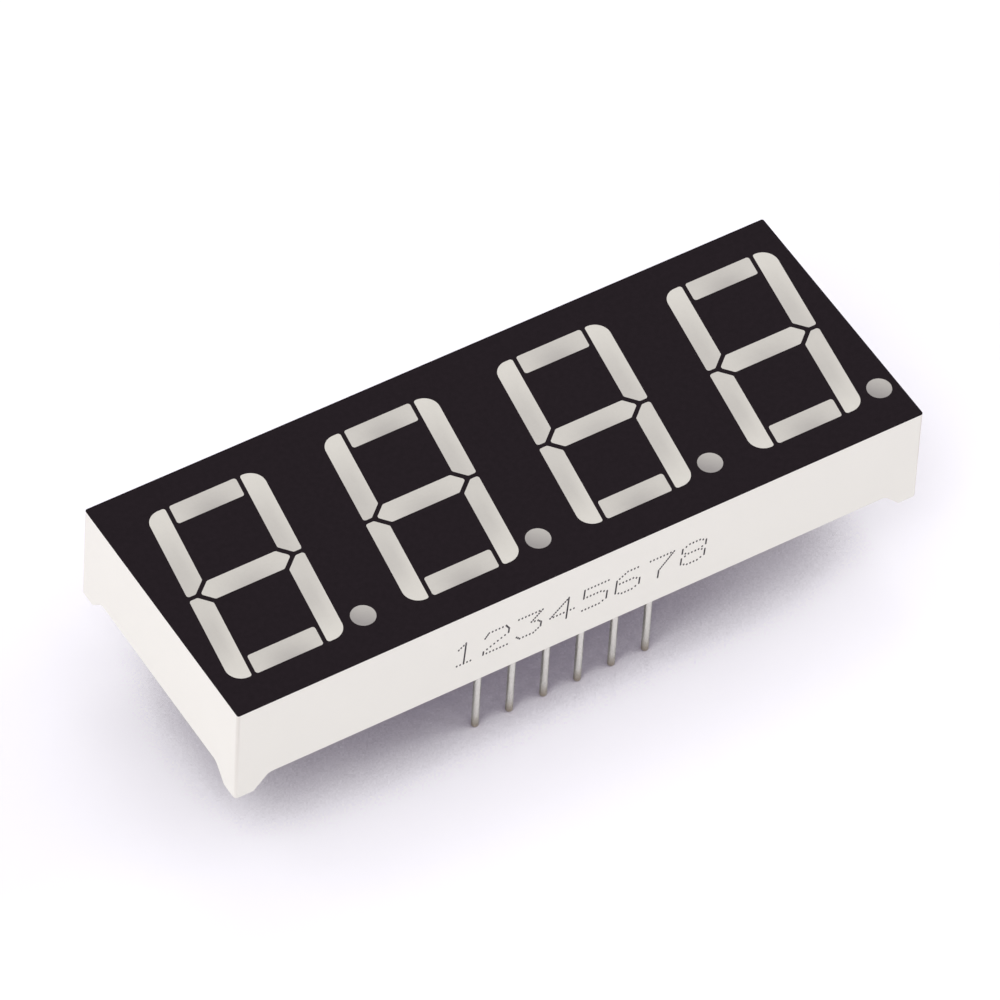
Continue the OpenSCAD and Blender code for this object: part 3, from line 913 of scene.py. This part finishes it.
def build_side_mark(settings):
    """Ink dots that print plain numbers on the long side, half sunk in it and half proud."""
    mesh = bmesh.new()
    side = side_frame()
    radius = settings.dot_width / 2
    tall = Matrix.Diagonal((1.0, settings.dot_height / settings.dot_width, 1.0, 1.0))
    for index, number in enumerate(settings.text):
        start = index * settings.pitch - settings.first
        for column, row in dots_of(number):
            down = (TOP_ROW - row) * settings.row_step
            x = start + column * settings.column_step - math.tan(settings.lean) * down
            spot = side @ Matrix.Translation((x, -settings.drop - down, 0.0)) @ tall
            bmesh.ops.create_cone(
                mesh, cap_ends=True, cap_tris=False, segments=8, radius1=radius,
                radius2=radius * DOT_TAPER, depth=2 * settings.film, matrix=spot,
            )
    finished_piece("side_mark", mesh, ink_material(settings))


def finish_inner_nodes():
    """Materials of what the resin holds: board, copper, solder, glue, chips and wires."""
    finish_node("circuit_board", laminate_material())
    copper = metal_material(
        "copper", (0.80, 0.47, 0.32), roughness=0.38, patch=1.2 * MM, amount=0.14,
        grain_size=0.1 * MM,
    )
    finish_node("copper_tracks", copper)
    solder = metal_material(
        "solder", (0.74, 0.74, 0.74), roughness=0.28, patch=0.5 * MM, amount=0.1,
        grain_size=0.2 * MM,
    )
    finish_node("solder_joints", solder)
    glue = metal_material(
        "silver glue", (0.62, 0.61, 0.59), roughness=0.55, patch=0.1 * MM, amount=0.12,
        grain_size=0.02 * MM,
    )
    finish_node("die_glue", glue)
    chip = chip_material()
    for name in CHIPS:
        finish_node(name, chip)
    wire = wire_material()
    for name in WIRES:
        finish_node(name, wire)


# ---- Stage ----------------------------------------------------------------------------


# Width of the camera's film in mm, the unit that its lens is given in
SENSOR_WIDTH = 36.0


def make_camera(settings):
    """The camera, which looks down at the near left corner."""
    look = Vector((
        math.sin(settings.turn) * math.cos(settings.height),
        math.cos(settings.turn) * math.cos(settings.height),
        -math.sin(settings.height),
    ))
    aim = Vector((settings.aim_x, settings.aim_y, FACE_HIGH.z))
    data = bpy.data.cameras.new("camera")
    data.lens = settings.lens
    data.sensor_width = SENSOR_WIDTH
    data.clip_start = 10 * MM
    data.clip_end = 20.0
    camera = bpy.data.objects.new("camera", data)
    turned = look.to_track_quat("-Z", "Y").to_matrix().to_4x4()
    rolled = turned @ Matrix.Rotation(settings.roll, 4, "Z")
    camera.matrix_world = Matrix.Translation(aim - look * settings.distance) @ rolled
    bpy.context.scene.collection.objects.link(camera)
    bpy.context.scene.camera = camera


# Soft boxes round the module. Each has the direction it stands in, its height and the half angle
# that it fills, all in degrees, and how strongly it lights the place that it faces, where 1 is a
# whole white sky.
LAMPS = {
    "left box": (194, 57, 12.2, 0.069),
    "front left box": (220, 55, 11.0, 0.102),
    "back left box": (140, 55, 11.0, 0.047),
    "back right box": (60, 55, 11.0, 0.062),
    "right box": (19, 42, 22.0, 0.048),
    "low left box": (200, 20, 11.0, 0.196),
    "low right box": (350, 22, 12.0, 0.252),
    "low back box": (60, 10, 11.0, 0.103),
}
LAMP_DISTANCE = 1.0


def make_lamp(name, turn, height, half_angle, strength):
    """A soft square lamp that faces the middle of the display face."""
    away = Vector((
        math.cos(math.radians(turn)) * math.cos(math.radians(height)),
        math.sin(math.radians(turn)) * math.cos(math.radians(height)),
        math.sin(math.radians(height)),
    ))
    data = bpy.data.lights.new(name, "AREA")
    data.shape = "SQUARE"
    # A square as large as the disc that fills the half angle
    data.size = math.sqrt(math.pi) * LAMP_DISTANCE * math.tan(math.radians(half_angle))
    # A square lamp of this power gives the irradiance that a white sky gives, pi, on its axis
    data.energy = strength * (math.pi * LAMP_DISTANCE) ** 2
    lamp = bpy.data.objects.new(name, data)
    turned = away.to_track_quat("Z", "Y").to_matrix().to_4x4()
    middle = Vector((0, 0, FACE_HIGH.z))
    lamp.matrix_world = Matrix.Translation(middle + away * LAMP_DISTANCE) @ turned
    bpy.context.scene.collection.objects.link(lamp)


def sees_background(tree):
    """1 for the camera, and for what gloss or glass shows."""
    path = tree.nodes.new("ShaderNodeLightPath")
    seen = math_node(tree, "MAXIMUM", path.outputs["Is Camera Ray"], path.outputs["Is Glossy Ray"])
    return math_node(tree, "MAXIMUM", seen, path.outputs["Is Transmission Ray"])


def make_world(settings):
    """A soft sky, white where it is seen."""
    world = bpy.data.worlds.new("studio")
    bpy.context.scene.world = world
    world.use_nodes = True
    tree = world.node_tree
    sky = tree.nodes["Background"]
    strength = ranged(tree, sees_background(tree), settings.sky, 1.0)
    tree.links.new(strength, sky.inputs["Strength"])
    sky.inputs["Color"].default_value = (1, 1, 1, 1)


# How far the floor looks for what stands over it, and the shares of clear sky at which it has its
# painted shadow colour and its open colour
SHADE_REACH = 0.1
SHADE_SAMPLES = 8
DEEP_SKY = 0.355
OPEN_SKY = 0.475
# Each colour of the floor as it lights other things, and as the camera sees it
OPEN_FLOOR = ((0.90, 0.895, 0.90), (0.98, 0.97, 1.0))
PAINTED_SHADOW_FLOOR = ((0.35, 0.345, 0.35), (0.345, 0.331, 0.352))
FLOOR_GLOW = ((0.0, 0.0, 0.0), (0.05, 0.037, 0.075))
FLOOR_HALF_WIDTH = 2.0


def floor_material():
    """Pale floor: white in the open, cool grey in the lamps' shade, and a painted shadow that
    deepens it under the module.
    """
    material, tree, shader = plain_material(
        "floor", Roughness=1.0, Specular_IOR_Level=0.0, Emission_Strength=1.0
    )
    seen = tree.nodes.new("ShaderNodeLightPath").outputs["Is Camera Ray"]
    # Painted shadow: the floor takes its deep colour where the module hides its sky
    sky = add_node(
        tree, "ShaderNodeAmbientOcclusion", {"Distance": SHADE_REACH}, samples=SHADE_SAMPLES
    )
    clearness = add_node(
        tree, "ShaderNodeMapRange",
        {"Value": sky.outputs["AO"], "From Min": DEEP_SKY, "From Max": OPEN_SKY},
        interpolation_type="SMOOTHSTEP",
    )
    open_floor, painted_shadow_floor, glow = (
        mixed(tree, seen, *map(opaque, pair)) for pair in (OPEN_FLOOR, PAINTED_SHADOW_FLOOR, FLOOR_GLOW)
    )
    colour = mixed(tree, clearness.outputs["Result"], painted_shadow_floor, open_floor)
    tree.links.new(colour, shader.inputs["Base Color"])
    tree.links.new(glow, shader.inputs["Emission Color"])
    # From below, the camera looks through the floor
    behind = tree.nodes.new("ShaderNodeNewGeometry").outputs["Backfacing"]
    below = math_node(tree, "MULTIPLY", behind, seen)
    clear = tree.nodes.new("ShaderNodeBsdfTransparent")
    through = tree.nodes.new("ShaderNodeMixShader")
    tree.links.new(below, through.inputs[0])
    tree.links.new(shader.outputs["BSDF"], through.inputs[1])
    tree.links.new(clear.outputs["BSDF"], through.inputs[2])
    tree.links.new(through.outputs["Shader"], tree.nodes["Material Output"].inputs["Surface"])
    return material


def make_floor():
    """A wide flat floor at z = 0, which isn't part of the module."""
    mesh = bmesh.new()
    bmesh.ops.create_grid(mesh, x_segments=1, y_segments=1, size=FLOOR_HALF_WIDTH)
    data = bpy.data.meshes.new("floor")
    mesh.to_mesh(data)
    mesh.free()
    data.materials.append(floor_material())
    floor = bpy.data.objects.new("floor", data)
    bpy.context.scene.collection.objects.link(floor)


def build_stage(settings):
    """Camera, sky, floor and lamps."""
    bpy.context.scene.view_settings.view_transform = "Standard"
    make_camera(settings)
    make_world(settings)
    make_floor()
    for name, (turn, height, half_angle, strength) in LAMPS.items():
        make_lamp(name, turn, height, half_angle, strength * settings.lamps)


# ---- Operators ------------------------------------------------------------------------


class DISPLAY_OT_moulding(Operator):
    """Make the white moulding"""

    bl_idname = "display.moulding"
    bl_label = "Moulding"

    def execute(self, context):
        build_moulding(context.scene.display_moulding)
        return {"FINISHED"}


class DISPLAY_OT_coat(Operator):
    """Finish the black coat on the face"""

    bl_idname = "display.coat"
    bl_label = "Black coat"

    def execute(self, context):
        finish_node("black_face", coat_material(context.scene.display_coat))
        return {"FINISHED"}


class DISPLAY_OT_windows(Operator):
    """Make the resin in the windows"""

    bl_idname = "display.windows"
    bl_label = "Windows"

    def execute(self, context):
        build_windows(context.scene.display_resin)
        return {"FINISHED"}


class DISPLAY_OT_back_resin(Operator):
    """Make the resin behind the board"""

    bl_idname = "display.back_resin"
    bl_label = "Back resin"

    def execute(self, context):
        build_back_resin(context.scene.display_resin)
        return {"FINISHED"}


class DISPLAY_OT_inner_parts(Operator):
    """Finish the board, copper, solder, glue, chips and wires"""

    bl_idname = "display.inner_parts"
    bl_label = "Inner parts"

    def execute(self, context):
        finish_inner_nodes()
        return {"FINISHED"}


class DISPLAY_OT_pins(Operator):
    """Finish the tinned pins"""

    bl_idname = "display.pins"
    bl_label = "Pins"

    def execute(self, context):
        tin = pin_material(context.scene.display_pins)
        for name in PINS:
            finish_node(name, tin)
        return {"FINISHED"}


class DISPLAY_OT_side_mark(Operator):
    """Print plain numbers on the long side"""

    bl_idname = "display.side_mark"
    bl_label = "Side mark"

    def execute(self, context):
        build_side_mark(context.scene.display_mark)
        return {"FINISHED"}


class DISPLAY_OT_stage(Operator):
    """Make the camera, floor, sky and lamps"""

    bl_idname = "display.stage"
    bl_label = "Stage"

    def execute(self, context):
        build_stage(context.scene.display_stage)
        return {"FINISHED"}


OPERATORS = (
    DISPLAY_OT_stage,
    DISPLAY_OT_moulding,
    DISPLAY_OT_coat,
    DISPLAY_OT_windows,
    DISPLAY_OT_back_resin,
    DISPLAY_OT_inner_parts,
    DISPLAY_OT_pins,
    DISPLAY_OT_side_mark,
)


class DISPLAY_PT_panel(Panel):
    """The display's pieces and their settings"""

    bl_label = "Display module"
    bl_space_type = "VIEW_3D"
    bl_region_type = "UI"
    bl_category = "Display"

    def draw(self, context):
        for operator in OPERATORS:
            self.layout.operator(operator.bl_idname)
        for name, group in SETTINGS.items():
            box = self.layout.box()
            box.label(text=group.__doc__)
            for label in group.__annotations__:
                box.prop(getattr(context.scene, name), label)


def register():
    """Registers the settings, the operators and the panel."""
    for name, group in SETTINGS.items():
        bpy.utils.register_class(group)
        setattr(bpy.types.Scene, name, PointerProperty(type=group))
    for item in (*OPERATORS, DISPLAY_PT_panel):
        bpy.utils.register_class(item)


def unregister():
    """Takes everything back that register puts in."""
    for item in (DISPLAY_PT_panel, *reversed(OPERATORS)):
        bpy.utils.unregister_class(item)
    for name, group in SETTINGS.items():
        delattr(bpy.types.Scene, name)
        bpy.utils.unregister_class(group)


def main():
    """Makes every piece in order."""
    register()
    for operator in OPERATORS:
        module, name = operator.bl_idname.split(".")
        getattr(getattr(bpy.ops, module), name)()


if __name__ == "__main__":
    main()
